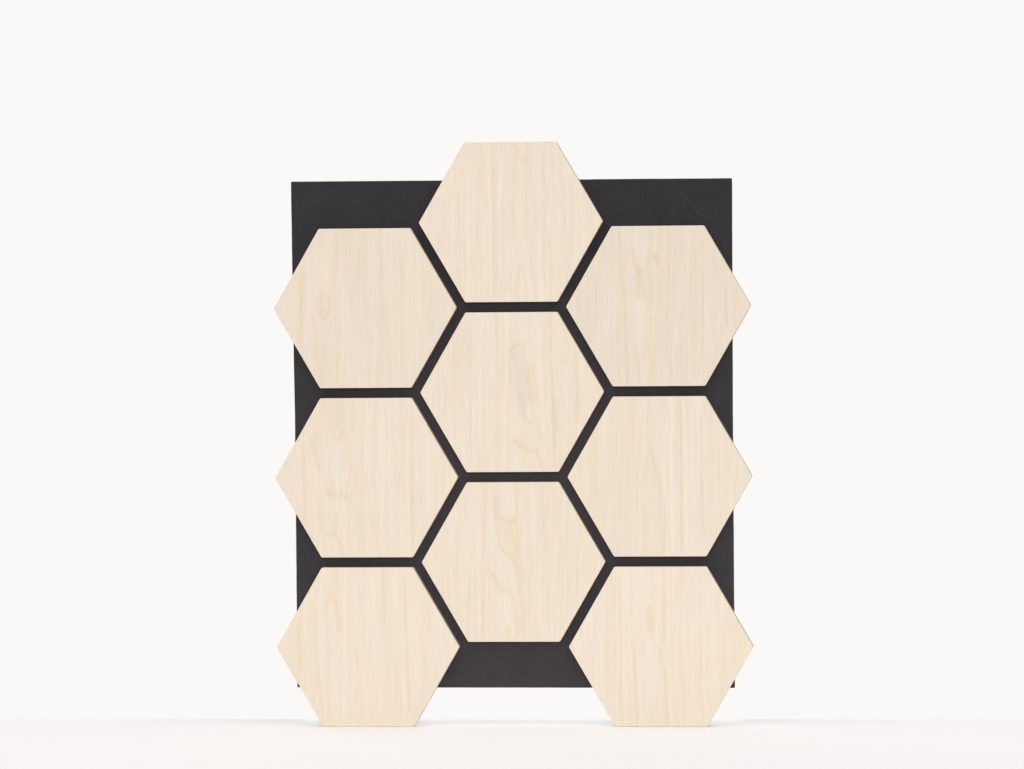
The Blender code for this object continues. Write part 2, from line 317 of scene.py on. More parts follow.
        "bends": [(-20, 60, 28, 70, 0, 5), (-16, -40, 30, 80, 0, -6)],
        "strokes": [
            ("ice", 1.0, 10.5, (-21, 92), (-20, 66)), ("ice", 0.8, 4.5, (-18.5, 66), (-18, 50)),
            ("limed", 0.7, 9.5, (-22, 4), (-21, -28)),
            ("orange", 1.0, 3.2, (-30, 66), (-27, 52), (-21.5, 38)),
            ("orange", 1.1, 4.2, (-22.5, 42), (-21.5, 26)), ("brown", 0.8, 2.8, (-23, 26), (-24, 8)),
            ("orange", 0.6, 2.2, (-8, 66), (-9, 54), (-16, 42)), ("orange", 0.85, 4.2, (-5, 59), (0, 52)),
            ("brown", 0.7, 2.2, (-1.5, 62), (-1.5, 48)),
            ("tan", 0.85, 2.2, (-46.5, 90), (-42.6, 40), (-40.2, 0), (-39, -40), (-36.5, -92)),
            ("orange", 0.75, 2.2, (-28.5, -48), (-26, -62), (-21.5, -88)),
            ("tan", 0.65, 1.7, (2, -20), (0, -44)),
            ("orange", 0.7, 2.3, (0, -44), (-3, -60), (-9.5, -76), (-10.5, -92)),
            ("ice", 0.6, 4, (-28, -74), (-30, -92)), ("shade", 0.35, 6, (24, -50), (25, -86)),
            ("brown", 0.8, 1.9, (-73.4, 36), (-73, -28)),
            ("brown", 0.6, 1.6, (12.5, 92), (13, 40), (10.6, -10), (8.3, -60)),
            ("brown", 0.75, 1.8, (53.2, 76), (52.1, 0), (50.9, -70)),
            ("tan", 0.55, 1.5, (43.8, 80), (43.8, -20)), ("brown", 0.6, 1.7, (40.2, -20), (41, -84)),
            ("tan", 0.55, 1.5, (28.4, 90), (27.2, 0), (26, -80)),
            ("brown", 0.8, 1.8, (80.5, 16), (80, -24)),
            ("limed", 0.6, 2, (36.7, 86), (36, 30)), ("limed", 0.6, 2, (35.5, -30), (35.5, -86)),
            ("limed", 0.5, 2.2, (-34, 80), (-35.5, 0), (-33.1, -80)),
            ("limed", 0.5, 2.4, (70.5, 30), (70.5, -30)), ("limed", 0.5, 2, (-62.7, 50), (-62.5, -40)),
        ],
    },
    "right_centre": {
        "tone": 0.995,
        "pores": 0.01,
        "bends": [(-6, -70, 30, 110, 0, 8)],
        "strokes": [
            ("ice", 0.5, 7.5, (-7, -10), (-6, -90)), ("tan", 0.35, 5, (-12, 92), (-12, 46)),
            ("orange", 0.7, 3, (-12, 42), (-12, 34)),
            ("orange", 0.7, 2.8, (-15, 26), (-18, -10), (-19, -92)),
            ("brown", 0.8, 2, (-12, 36), (-7, 18), (-1, 0)), ("orange", 0.75, 2.6, (-2.5, 2), (1, -9)),
            ("tan", 0.8, 2, (1, -9), (5, -28), (5.5, -90)),
            ("tan", 0.5, 1.7, (-0.5, 54), (5.5, 30), (10.5, 8), (13, -20)),
            ("brown", 0.9, 2.2, (24, 92), (26, 10), (24.8, -88)),
            ("limed", 0.9, 2.2, (14.2, 92), (14.2, -88)),
            ("limed", 0.85, 2.4, (28.8, 92), (31.5, 10), (30.5, -88)),
            ("limed", 0.6, 2.2, (39, 84), (39, -30)), ("limed", 0.6, 2.2, (52.1, 70), (52, 30)),
            ("limed", 0.6, 2.2, (73.4, 30), (73, -30)), ("limed", 0.5, 2, (-11.8, -30), (-11.8, -88)),
            ("tan", 0.6, 1.6, (20.5, 92), (20.1, 0), (18.9, -88)),
            ("brown", 0.65, 1.7, (48.5, 70), (49.7, 0), (50.9, -66)),
            ("brown", 0.65, 1.7, (69.8, 30), (70, -30)), ("tan", 0.65, 1.7, (-29.6, 90), (-30.8, -10)),
            ("tan", 0.5, 1.6, (-26, -24), (-26, -84)), ("tan", 0.5, 1.6, (-60, 50), (-60.3, -40)),
            ("tan", 0.45, 1.5, (35.5, -24), (35.5, -86)), ("shade", 0.6, 2.2, (-74.5, 0), (-74.5, -22)),
        ],
    },
    "right_bottom": {
        "tone": 1.022,
        "pores": 0.011,
        "bends": [(-12, -60, 34, 100, 0, 9)],
        "strokes": [
            ("rose", 0.55, 11, (-20, 92), (-20, 44)), ("ice", 0.7, 4.6, (-2, 92), (-2, 28)),
            ("ice", 0.9, 12, (-12.5, -2), (-11.5, -66)), ("mineral", 0.35, 8, (-10, -62), (-9, -90)),
            ("orange", 1.1, 5.6, (-14, 44), (-12, 22)), ("tan", 0.7, 2.2, (-12, 22), (-10, 6)),
            ("brown", 0.85, 2.2, (4.7, 70), (5, 40), (4, 6)),
            ("brown", 0.9, 2.2, (-32, 8), (-30.8, -20), (-29.6, -60), (-29, -92)),
            ("brown", 0.9, 2, (-2, -2), (-0.5, -14), (4, -28)),
            ("brown", 0.8, 1.9, (4, -28), (5.9, -60), (7.5, -90)),
            ("tan", 0.55, 1.8, (5, 92), (4.7, 70)), ("brown", 0.7, 1.9, (-47.3, 80), (-47.3, -74)),
            ("tan", 0.6, 1.7, (-53.2, 70), (-53.2, -10)), ("tan", 0.6, 1.7, (-34.3, 90), (-34.3, 30)),
            ("tan", 0.5, 1.6, (23.7, 90), (24.8, 0), (26, -80)),
            ("tan", 0.6, 1.6, (46.1, 76), (47.3, 0), (48.5, -70)),
            ("tan", 0.6, 1.7, (73.4, 30), (73.4, -30)),
            ("shade", 0.6, 2.2, (85.5, 4), (85.5, -22)), ("shade", 0.4, 2, (62.5, -44), (62.5, -74)),
            ("limed", 0.6, 2.4, (-24.5, -10), (-23.7, -88)), ("limed", 0.5, 2, (-4.2, 30), (-4.7, 0)),
            ("limed", 0.5, 2, (15.4, 90), (15.4, 30)), ("limed", 0.45, 2, (10.6, -30), (11, -88)),
            ("limed", 0.45, 2, (50.9, 20), (50.9, -66)), ("limed", 0.5, 2, (81.6, 16), (81.6, -12)),
        ],
    },
}


def ellipse(tree, spot, x, z, halfWidth, halfHeight, lean):
    # Coordinates in which a leaning ellipse is the unit circle
    depth = 1000  # the veneer is thin, so its depth doesn't count
    return addNode(tree, "Mapping", {"Vector": spot, "Location": (x, 0, z), "Rotation": (0, -lean, 0),
                                     "Scale": (halfWidth, depth, halfHeight)}, vector_type="TEXTURE")


def strokeDistance(tree, spot, halfWidth, points):
    # Distance to the stroke's middle line, in half widths, or along a long stroke in steps of its fade
    nearest = None
    for (x1, z1), (x2, z2) in zip(points, points[1:]):
        length = math.hypot(x2 - x1, z2 - z1)
        fade = veneer["fade"] if length > veneer["longLine"] else 1
        along = ellipse(tree, spot, (x1 + x2) / 2, (z1 + z2) / 2, halfWidth, halfWidth * fade,
                        math.atan2(x2 - x1, z1 - z2))
        folded = addNode(tree, "VectorMath", {0: along}, operation="ABSOLUTE")
        # A long stroke starts to fade before its end, a short one at it
        straight = length / 2 / (halfWidth * fade) - (0.5 if fade > 1 else 0)
        beyond = addNode(tree, "VectorMath", {0: folded, 1: (0, 0, straight)}, operation="SUBTRACT")
        outside = addNode(tree, "VectorMath", {0: beyond, 1: (0, 0, 0)}, operation="MAXIMUM")
        away = addNode(tree, "VectorMath", {0: outside}, operation="LENGTH")
        nearest = away if nearest is None else addNode(tree, "Math", {0: nearest, 1: away},
                                                       operation="MINIMUM")
    return nearest


def veneerMaterial(place, seed):
    # Sliced ash veneer, limed and matt-lacquered: nearly white, with the faint stripes and eyes of cut
    # year rings, and a soft satin without highlights
    material, tree, shader = newMaterial("limedAshVeneer_" + place, veneer["roughness"])
    low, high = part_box("tile_veneer_" + place)
    centre = (low + high) / 2
    figures = tileFigures[place]

    def tinted(hexColour):
        return [part * figures["tone"] for part in linear(hexColour)[:3]] + [1.0]

    local = addNode(tree, "VectorMath", {0: addNode(tree, "TexCoord").outputs["Object"],
                                         1: (1 / mm, 1 / mm, 1 / mm), 2: -centre / mm},
                    operation="MULTIPLY_ADD")
    # Every sheet is another slice of the noise
    shifted = addNode(tree, "VectorMath", {0: local, 1: (0, seed * 37.0, 0)}, operation="ADD")

    # The grain wanders slowly over the tile, and wavers a little on the way
    offsets = []
    for sway, width, height in veneer["sway"]:
        stretched = addNode(tree, "VectorMath", {0: shifted, 1: (1 / width, 1 / width, 1 / height)},
                            operation="MULTIPLY")
        drift = addNode(tree, "TexNoise", {"Vector": stretched, "Scale": 1.0, "Detail": 0.0})
        offsets.append(addNode(tree, "VectorMath", {0: drift.outputs["Color"], 1: (2 * sway, 0, 2 * sway),
                                                    2: (-sway, 0, -sway)}, operation="MULTIPLY_ADD"))
    figureSpot = addNode(tree, "VectorMath", {0: local, 1: offsets[1]}, operation="ADD")
    spot = addNode(tree, "VectorMath", {0: figureSpot, 1: offsets[0]}, operation="ADD")
    split = addNode(tree, "SeparateXYZ", {0: spot})

    # Where the cut grazes a year ring, the rings bend aside or spread
    growth = split.outputs["X"]
    for x, z, halfWidth, halfHeight, push, spread in figures["bends"]:
        around = ellipse(tree, spot, x, z, halfWidth, halfHeight, 0)
        reach = addNode(tree, "TexGradient", {"Vector": around}, gradient_type="QUADRATIC_SPHERE")
        across = addNode(tree, "SeparateXYZ", {0: around}).outputs["X"]
        aside = addNode(tree, "Math", {0: across, 1: -spread * 2, 2: push}, operation="MULTIPLY_ADD")
        growth = addNode(tree, "Math", {0: aside, 1: reach, 2: growth}, operation="MULTIPLY_ADD")
    rings = addNode(tree, "CombineXYZ", {"X": growth, "Y": seed * 11.3, "Z": split.outputs["Z"]})

    def stripes(width, height, detail=0.0, phase=0.0, along=rings):
        # phase: a slice of its own. Half a step up, so that the tile lies between two of the noise's planes
        stretched = addNode(tree, "VectorMath", {0: along, 1: (1 / width, 1, 1 / height),
                                                 2: (0, phase, 0.5)}, operation="MULTIPLY_ADD")
        return addNode(tree, "TexNoise", {"Vector": stretched, "Scale": 1.0, "Detail": detail})

    # The layers add up round a middle colour
    factor = 0.5 - sum(amount for width, height, amount in veneer["layers"]) / 2
    for width, height, amount in veneer["layers"]:
        layer = stripes(width, height, detail=1.0)
        factor = addNode(tree, "Math", {0: layer, 1: amount, 2: factor}, operation="MULTIPLY_ADD")
    colour = addNode(tree, "Mix", {0: factor, 1: tinted(veneer["pale"]), 2: tinted(veneer["warm"])},
                     data_type="RGBA", clamp_factor=True)
    # The rings differ in hue too
    width, height, share = veneer["hue"]
    hue = addNode(tree, "MapRange", {"Value": stripes(width, height, detail=1.0, phase=5.4), **noiseSpan})
    tints = addNode(tree, "Mix", {0: hue, 1: tinted(veneer["grey"]), 2: tinted(veneer["straw"])},
                    data_type="RGBA")
    colour = addNode(tree, "Mix", {0: share, 1: colour, 2: tints}, data_type="RGBA")
    # Pores and denser fibres, straight and drawn about a millimetre wide, so that they show
    poreLines = (*veneer["poreSize"], figures["pores"])
    for (width, height, depth), phase in zip((poreLines, veneer["denseFibres"]), (2.3, 6.7)):
        lightness = addNode(tree, "MapRange", {"Value": stripes(width, height, phase=phase, along=shifted),
                                               **noiseSpan, "To Min": 1 + depth, "To Max": 1 - depth})
        colour = addNode(tree, "VectorMath", {0: colour, "Scale": lightness}, operation="SCALE")

    # Every fibre shows its own bit of a ring's end, so the figure is ragged along the grain
    width, height = veneer["fibreSize"]
    stretched = addNode(tree, "VectorMath", {0: spot, 1: (1 / width, 1, 1 / height)},
                        operation="MULTIPLY")
    fibres = addNode(tree, "TexNoise", {"Vector": stretched, "Scale": 1.0, "Detail": 2.0})
    across, along = veneer["ragged"]
    ragged = addNode(tree, "VectorMath", {0: fibres.outputs["Color"], 1: (across, 0, along),
                                          2: (-across / 2, 0, -along / 2)}, operation="MULTIPLY_ADD")
    figureSpot = addNode(tree, "VectorMath", {0: figureSpot, 1: ragged}, operation="ADD")
    begins, ends, least = veneer["broken"]
    broken = addNode(tree, "MapRange", {"Value": fibres, "From Min": begins, "From Max": ends,
                                        "To Min": least, "To Max": 1.0})

    for name, width, height, middle, reach, amount in veneer["ringEnds"]:
        away = addNode(tree, "Math", {0: stripes(width, height, phase=9.4), 1: middle},
                       operation="SUBTRACT")
        size = addNode(tree, "Math", {0: away}, operation="ABSOLUTE")
        near = addNode(tree, "MapRange", {"Value": size, "From Min": 0.0, "From Max": reach,
                                          "To Min": amount, "To Max": 0.0},
                       interpolation_type="SMOOTHSTEP")
        shown = addNode(tree, "Math", {0: near, 1: broken}, operation="MULTIPLY")
        colour = addNode(tree, "Mix", {0: shown, 1: colour, 2: tinted(veneer[name])}, data_type="RGBA")

    full, gone = veneer["strokeEdge"]
    for name, amount, halfWidth, *points in figures["strokes"]:
        strokeColour, share = figureColours[name]
        inside = addNode(tree, "MapRange", {"Value": strokeDistance(tree, figureSpot, halfWidth, points),
                                            "From Min": full, "From Max": gone,
                                            "To Min": amount * share, "To Max": 0.0},
                         interpolation_type="SMOOTHSTEP")
        shown = addNode(tree, "Math", {0: inside, 1: broken}, operation="MULTIPLY")
        colour = addNode(tree, "Mix", {0: shown, 1: colour, 2: tinted(strokeColour)}, data_type="RGBA")

    # The edge, sanded through the lime: the face's normal has a Y of -1, the side's 0
    facing = addNode(tree, "SeparateXYZ", {0: addNode(tree, "TexCoord").outputs["Normal"]})
    turned = addNode(tree, "MapRange", {"Value": facing.outputs["Y"], "From Min": -0.9, "From Max": -0.3,
                                        "To Min": 0.0, "To Max": veneer["edgeShare"]})
    colour = addNode(tree, "Mix", {0: turned, 1: colour, 2: linear(veneer["edge"])}, data_type="RGBA")
    tree.links.new(colour.outputs[2], shader.inputs["Base Color"])

    # Open grain under thin lacquer
    relief = addNode(tree, "Bump", {"Height": fibres, "Strength": 0.5, "Distance": veneer["relief"] * mm})
    tree.links.new(relief.outputs[0], shader.inputs["Normal"])
    smooth, rough = veneer["satin"]
    gloss = addNode(tree, "MapRange", {"Value": fibres, **noiseSpan, "To Min": smooth, "To Max": rough})
    tree.links.new(gloss.outputs[0], shader.inputs["Roughness"])
    return material


for number, place in enumerate(tileFigures):
    dress("tile_veneer_" + place, veneerMaterial(place, number + 1))
print("veneer done")


# Fibreboard

fibreboard = {
    "loose": "#D3C6B1",       # the middle of the board, less pressed
    "dense": "#C2B59F",       # near its two faces
    "fleck": "#8A7050",       # dark bark fibres
    "tuft": "#D6C4A8",        # pale torn fibres
    # Colour, fibres per metre along x, y and z, the noise values between which it comes in, strength.
    # Real fibres are 0.1 mm thick, too fine to show: bundles of 0.7 by 2.5 mm stand for them
    "fibres": (("fleck", (1400, 2200, 500), 0.56, 0.7, 0.5), ("tuft", (500, 2400, 1300), 0.55, 0.7, 0.6),
               ("fleck", (160, 160, 160), 0.45, 0.8, 0.3)),
    "crust": (0.35, 0.9),     # shares of the way from the middle to a face, between which it gets denser
    "fuzz": (900, 0.12),      # the sawn edge's roughness: tufts per metre, mm that they stand up
    "roughness": 0.85,
}


def fibreboardMaterial():
    # Medium-density fibreboard, sawn and sanded: matt light brown, flecked, denser towards both faces
    material, tree, shader = newMaterial("fibreboardSawn", fibreboard["roughness"],
                                         Specular_IOR_Level=0.3)
    low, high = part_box("tile_core_middle_centre")
    middle = (low.y + high.y) / 2
    half = (high.y - low.y) / 2
    spot = addNode(tree, "TexCoord").outputs["Object"]
    depth = addNode(tree, "SeparateXYZ", {0: spot}).outputs["Y"]
    fromMiddle = addNode(tree, "Math", {0: addNode(tree, "Math", {0: depth, 1: middle},
                                                   operation="SUBTRACT")}, operation="ABSOLUTE")
    inner, outer = fibreboard["crust"]
    density = addNode(tree, "MapRange", {"Value": fromMiddle, "From Min": half * inner,
                                         "From Max": half * outer})
    colour = addNode(tree, "Mix", {0: density, 1: linear(fibreboard["loose"]),
                                   2: linear(fibreboard["dense"])}, data_type="RGBA")
    for name, stretch, low, high, amount in fibreboard["fibres"]:
        stretched = addNode(tree, "VectorMath", {0: spot, 1: stretch}, operation="MULTIPLY")
        grain = addNode(tree, "TexNoise", {"Vector": stretched, "Scale": 1.0, "Detail": 2.0})
        shown = addNode(tree, "MapRange", {"Value": grain, "From Min": low, "From Max": high,
                                           "To Min": 0.0, "To Max": amount})
        colour = addNode(tree, "Mix", {0: shown, 1: colour, 2: linear(fibreboard[name])},
                         data_type="RGBA")
    tree.links.new(colour.outputs[2], shader.inputs["Base Color"])
    tufts, rise = fibreboard["fuzz"]
    fuzz = addNode(tree, "TexNoise", {"Vector": spot, "Scale": tufts, "Detail": 3.0})
    relief = addNode(tree, "Bump", {"Height": fuzz, "Strength": 0.6, "Distance": rise * mm})
    tree.links.new(relief.outputs[0], shader.inputs["Normal"])
    return material


sawnBoard = fibreboardMaterial()
for place in tileFigures:
    dress("tile_core_" + place, sawnBoard)
print("fibreboard done")


# Felt

felt = {
    "dark": "#131217",
    "light": "#312D31",
    "fleck": "#4A484C",       # the few grey fibres in the black
    "roughness": 0.95,
    "clouds": ((7, 0.4), (28, 0.6)),          # uneven density: mm across, share
    # Fibres are 0.02 mm thick, too fine to show: tangled strands of about 1 by 8 mm stand for them
    "strands": (1100, 900, 130),              # per metre across, deep and along
    "strandTurns": (20, 80, 140),             # degrees, the three ways that they lie
    "mottle": (0.42, 2.3),    # clouds and strands together: where the felt is dark, where light
    # The grey fibres: places per metre, the noise values between which they come in, how strongly
    "speckles": (700, 0.66, 0.76, 0.25),
    "nap": (800, 0.25),       # the fuzz: tufts per metre, mm that they stand up
    "paintedFloorLight": 1.85,             # painted light: how much paler the felt is made towards the foot of the board, as if lit from the floor
    "paintedGrooveLight": (1.6, -0.02, 0.27),             # painted light, paler over the grooves between the tiles to lift their shade: strength, height, radius (metres)
    "step": 7.0,              # mm between the mesh lines
    "rimLines": (0, 0.12, 0.36, 0.8, 1.5, 3.0),        # mm from the edge, where they lie closer
    "crownLines": ((0.0, 3.5, 5.6, 6.8, 8.6), (0.0, 0.8, 1.7, 3.2)),    # mm from a staple, x and z
    "backInset": 0.12,        # mm, so that no ripple passes the plane that the panel hangs on
    "ridge": 0.15,            # mm that a layer stands out of the cut edge
    "arris": 0.9,             # mm, pressed round by handling
    "cornerRadius": 1.3,
    "ripples": ((16, 0.10), (60, 0.12)),      # mm across and high
    "edgeWave": ((34, 0.22), (9, 0.10)),      # mm along the cut, and deep
    "layers": (1.5, 3.0, 4.5, 6.0, 7.5),      # mm through the thickness
    "dimple": (0.72, 2.1),                    # mm deep and wide where a staple pulls the felt in
    # Hand-cut edges, mm off the square: left and right at the foot and head, top and bottom at both ends
    "left": (-0.45, -2.6),
    "right": (-0.45, 0.6),
    "top": (0.8, -0.3),
    "bottom": (0.5, -0.2),
}
# Rubbed places: strength, x, z in mm from the felt's middle, half width, half height, lean in degrees
feltRubs = ((0.2, 206, 276, 2.4, 17, 50), (0.16, 222, 258, 2.4, 15, 46), (0.14, 244, 272, 2, 13, -40),
            (0.06, -236, 280, 26, 24, 0), (0.12, 190, 262, 3, 12, 30), (0.3, 250.5, 224, 2, 2.4, 0))


def wave(x, y, z, length):
    return noise.noise(Vector((x, y, z)) / (length * mm))


def gridLines(low, high, step, marks, offsets):
    # Even lines, with finer ones near the two ends and round each mark
    fine = [low + d * mm for d in felt["rimLines"]]
    fine += [high - (line - low) for line in fine]
    fine += [mark + side * d * mm for mark in marks for d in offsets for side in (-1, 1)]
    count = round((high - low) / (step * mm))
    even = [low + (high - low) * i / count for i in range(count + 1)]
    even = [line for line in even if min(abs(line - other) for other in fine) > 0.3 * step * mm]
    lines = []
    for line in sorted(set(fine + even)):
        if not lines or line - lines[-1] > 0.08 * mm:
            lines.append(line)
    return lines


def feltBoard():
    low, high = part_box("felt_backing")
    half = (high - low) / 2
    crowns = []
    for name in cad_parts:
        if name.startswith("staple"):
            stapleLow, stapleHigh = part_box(name)
            crowns.append(((stapleLow.x + stapleHigh.x) / 2, (stapleLow.z + stapleHigh.z) / 2))
            reach = (stapleHigh.x - stapleLow.x) / 2
    besideX, besideZ = felt["crownLines"]
    xLines = gridLines(low.x, high.x, felt["step"], sorted({round(x, 5) for x, z in crowns}), besideX)
    zLines = gridLines(low.z, high.z, felt["step"], sorted({round(z, 5) for x, z in crowns}), besideZ)

    def outline(x, z, depth):
        # Square grid points are drawn in to the round corners, then moved to the hand-cut edges
        radius = felt["cornerRadius"] * mm
        dx = max(0.0, abs(x) - half.x + radius)
        dz = max(0.0, abs(z) - half.z + radius)
        if dx > 0 and dz > 0:
            shrink = max(dx, dz) / math.hypot(dx, dz)
            x = math.copysign(half.x - radius + dx * shrink, x)
            z = math.copysign(half.z - radius + dz * shrink, z)
        # The sides run square up to the middle, and lean from there up
        across, up = x / half.x, z / half.z
        rise = max(0.0, (up - 0.1) / 0.9) ** 0.65
        side = felt["left"] if across < 0 else felt["right"]
        end = felt["bottom"] if up < 0 else felt["top"]
        moveX = side[0] + (side[1] - side[0]) * rise
        moveZ = end[0] + (end[1] - end[0]) * (across + 1) / 2
        for length, deep in felt["edgeWave"]:
            moveX += deep * wave(9 + across, depth * 3, z, length)
            moveZ += deep * wave(x, depth * 3, 9 + up, length)
        return x + moveX * mm * across ** 4, z + moveZ * mm * up ** 4

    def arrisDrop(x, z):
        arris = felt["arris"] * mm
        inset = min(half.x - abs(x), half.z - abs(z), arris)
        return arris - math.sqrt(max(0.0, arris ** 2 - (arris - inset) ** 2))

    def ripple(x, y, z):
        return mm * sum(high * wave(x, y, z, length) for length, high in felt["ripples"])

    deep, wide = felt["dimple"]
    verts, faces = [], []
    rows = len(zLines)
    for front in (True, False):
        for x in xLines:
            close = [crown for crown in crowns if abs(crown[0] - x) < 2 * reach]
            for z in zLines:
                drop = arrisDrop(x, z)
                if front:
                    y = low.y + drop + ripple(x, 0, z)
                else:
                    y = high.y - drop - felt["backInset"] * mm - abs(ripple(x, 1, z))
                    for crownX, crownZ in close:
                        away = math.hypot(max(0.0, abs(x - crownX) - 0.8 * reach), z - crownZ)
                        y -= deep * mm * math.exp(-(away / (wide * mm)) ** 2)
                px, pz = outline(x, z, 0 if front else 1)
                verts.append((px, y, pz))
        start = 0 if front else len(xLines) * rows
        for i in range(len(xLines) - 1):
            for j in range(rows - 1):
                a = start + i * rows + j
                quad = (a, a + rows, a + rows + 1, a + 1)
                faces.append(quad if front else quad[::-1])
    # The cut edge shows the felt's layers as faint ridges
    rim = [(i, 0) for i in range(len(xLines))]
    rim += [(len(xLines) - 1, j) for j in range(1, rows)]
    rim += [(i, rows - 1) for i in range(len(xLines) - 2, -1, -1)]
    rim += [(0, j) for j in range(rows - 2, 0, -1)]
    rings = [[i * rows + j for i, j in rim]]
    for number, depth in enumerate(felt["layers"]):
        rings.append([])
        for i, j in rim:
            x, z = outline(xLines[i], zLines[j], number)
            bulge = felt["ridge"] * mm * (1 if number % 2 else -0.5)
            rings[-1].append(len(verts))
            verts.append((x + math.copysign(bulge, x) * (abs(xLines[i]) > half.x - 1e-6),
                          low.y + depth * mm,
                          z + math.copysign(bulge, z) * (abs(zLines[j]) > half.z - 1e-6)))
    rings.append([len(xLines) * rows + i * rows + j for i, j in rim])
    for upper, lower in zip(rings, rings[1:]):
        for k in range(len(rim)):
            following = (k + 1) % len(rim)
            faces.append((upper[k], lower[k], lower[following], upper[following]))
    mesh = bpy.data.meshes.new("feltBoard")
    mesh.from_pydata(verts, [], faces)
    bm = bmesh.new()
    bm.from_mesh(mesh)
    bmesh.ops.recalc_face_normals(bm, faces=bm.faces)
    bm.to_mesh(mesh)
    bm.free()
    mesh.shade_smooth()
    board = bpy.data.objects.new("feltBoard", mesh)
    bpy.context.scene.collection.objects.link(board)
    return board


def feltMaterial():
    # Polyester fibre, needled and heat-pressed: soot-black, softly mottled, fuzzy and without shine
    material, tree, shader = newMaterial("needledPolyesterFelt", felt["roughness"],
                                         Specular_IOR_Level=0.25, Sheen_Weight=0.12,
                                         Sheen_Roughness=0.7)
    spot = addNode(tree, "TexCoord").outputs["Object"]
    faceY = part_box("felt_backing")[0].y
    strands = 0.0
    for turn in felt["strandTurns"]:
        mapped = addNode(tree, "Mapping", {"Vector": spot, "Rotation": (0, math.radians(turn), 0),
                                           "Scale": felt["strands"]})
        strand = addNode(tree, "TexNoise", {"Vector": mapped, "Scale": 1.0, "Detail": 1.0,
                                            "Distortion": 0.6})
        strands = addNode(tree, "Math", {0: strand, 1: 0.5, 2: strands}, operation="MULTIPLY_ADD")
    clouds = 0.0
    for size, share in felt["clouds"]:
        cloud = addNode(tree, "TexNoise", {"Vector": spot, "Scale": 1 / (size * mm), "Detail": 2.0})
        clouds = addNode(tree, "Math", {0: cloud, 1: share, 2: clouds}, operation="MULTIPLY_ADD")
    together = addNode(tree, "Math", {0: strands, 1: clouds}, operation="ADD")
    # Painted light: the felt is made paler towards the foot of the board, standing in for light from the
    # floor
    height = addNode(tree, "SeparateXYZ", {0: spot}).outputs["Z"]
    together = addNode(tree, "Math", {0: height, 1: -felt["paintedFloorLight"], 2: together},
                       operation="MULTIPLY_ADD")
    # Painted light: the felt is paler in a round patch over the tile field, where the grooves between the
    # tiles lie, to lift their shade
    strength, z, radius = felt["paintedGrooveLight"]
    depth = 0.05  # metres, so that only the front is reached
    middle = addNode(tree, "Mapping", {"Vector": spot, "Location": (0, faceY, z),
                                       "Scale": (radius, depth, radius)}, vector_type="TEXTURE")
    paintedGrooveLight = addNode(tree, "TexGradient", {"Vector": middle}, gradient_type="SPHERICAL")
    together = addNode(tree, "Math", {0: paintedGrooveLight, 1: strength, 2: together}, operation="MULTIPLY_ADD")
    darkest, lightest = felt["mottle"]
    factor = addNode(tree, "MapRange", {"Value": together, "From Min": darkest, "From Max": lightest})
    colour = addNode(tree, "Mix", {0: factor, 1: linear(felt["dark"]), 2: linear(felt["light"])},
                     data_type="RGBA")
    places, begins, ends, strength = felt["speckles"]
    speckled = addNode(tree, "TexNoise", {"Vector": spot, "Scale": places, "Detail": 1.0})
    pale = addNode(tree, "MapRange", {"Value": speckled, "From Min": begins, "From Max": ends,
                                      "To Min": 0.0, "To Max": strength})
    for amount, x, z, halfWidth, halfHeight, lean in feltRubs:
        rub = addNode(tree, "Mapping", {"Vector": spot, "Location": (x * mm, faceY, z * mm),
                                        "Rotation": (0, -math.radians(lean), 0),
                                        "Scale": (halfWidth * mm, 5 * mm, halfHeight * mm)},
                      vector_type="TEXTURE")
        rubbed = addNode(tree, "TexGradient", {"Vector": rub}, gradient_type="QUADRATIC_SPHERE")
        pale = addNode(tree, "Math", {0: rubbed, 1: amount, 2: pale}, operation="MULTIPLY_ADD")
    colour = addNode(tree, "Mix", {0: pale, 1: colour, 2: linear(felt["fleck"])}, data_type="RGBA",
                     clamp_factor=True)
    tree.links.new(colour.outputs[2], shader.inputs["Base Color"])
    tufts, rise = felt["nap"]
    nap = addNode(tree, "TexNoise", {"Vector": spot, "Scale": tufts, "Detail": 3.0})
    fuzz = addNode(tree, "Math", {0: nap, 1: strands}, operation="ADD")
    relief = addNode(tree, "Bump", {"Height": fuzz, "Strength": 0.5, "Distance": rise * mm})
    tree.links.new(relief.outputs[0], shader.inputs["Normal"])
    return material


board = feltBoard()
board.data.materials.append(feltMaterial())
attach(board, "root")
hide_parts("felt_backing")
print("felt done", len(board.data.polygons))


# Staples

staple = {
    "zinc": "#B9BCBE",
    "dull": "#8E9294",        # where the zinc has gone matt
    "drawnLines": (260, 260, 6000),           # per metre along the wire and across it
    "spangle": 700,           # zinc crystals per metre, drawn coarse so that they show
    "roughness": 0.34,
    "satin": (0.26, 0.42),    # the roughness varies between these
}


def stapleMaterial():
    # Galvanised steel wire, drawn and flattened: cool grey metal with fine lines along the wire
    material, tree, shader = newMaterial("galvanisedStapleWire", staple["roughness"], metallic=1.0)
    spot = addNode(tree, "TexCoord").outputs["Object"]
    lines = addNode(tree, "VectorMath", {0: spot, 1: staple["drawnLines"]}, operation="MULTIPLY")
    drawn = addNode(tree, "TexNoise", {"Vector": lines, "Scale": 1.0, "Detail": 2.0})
    spangle = addNode(tree, "TexVoronoi", {"Vector": spot, "Scale": staple["spangle"]})
    patch = addNode(tree, "SeparateColor", {0: spangle.outputs["Color"]}).outputs[0]
    mixed = addNode(tree, "Math", {0: drawn, 1: patch}, operation="MULTIPLY")
    colour = addNode(tree, "Mix", {0: mixed, 1: linear(staple["zinc"]), 2: linear(staple["dull"])},
                     data_type="RGBA")
    tree.links.new(colour.outputs[2], shader.inputs["Base Color"])
    smooth, rough = staple["satin"]
    gloss = addNode(tree, "MapRange", {"Value": drawn, **noiseSpan, "To Min": smooth, "To Max": rough})
    tree.links.new(gloss.outputs[0], shader.inputs["Roughness"])
    return material


wire = stapleMaterial()
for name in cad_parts:
    if name.startswith("staple"):
        dress(name, wire)
print("staples done")


# Floor, light and camera

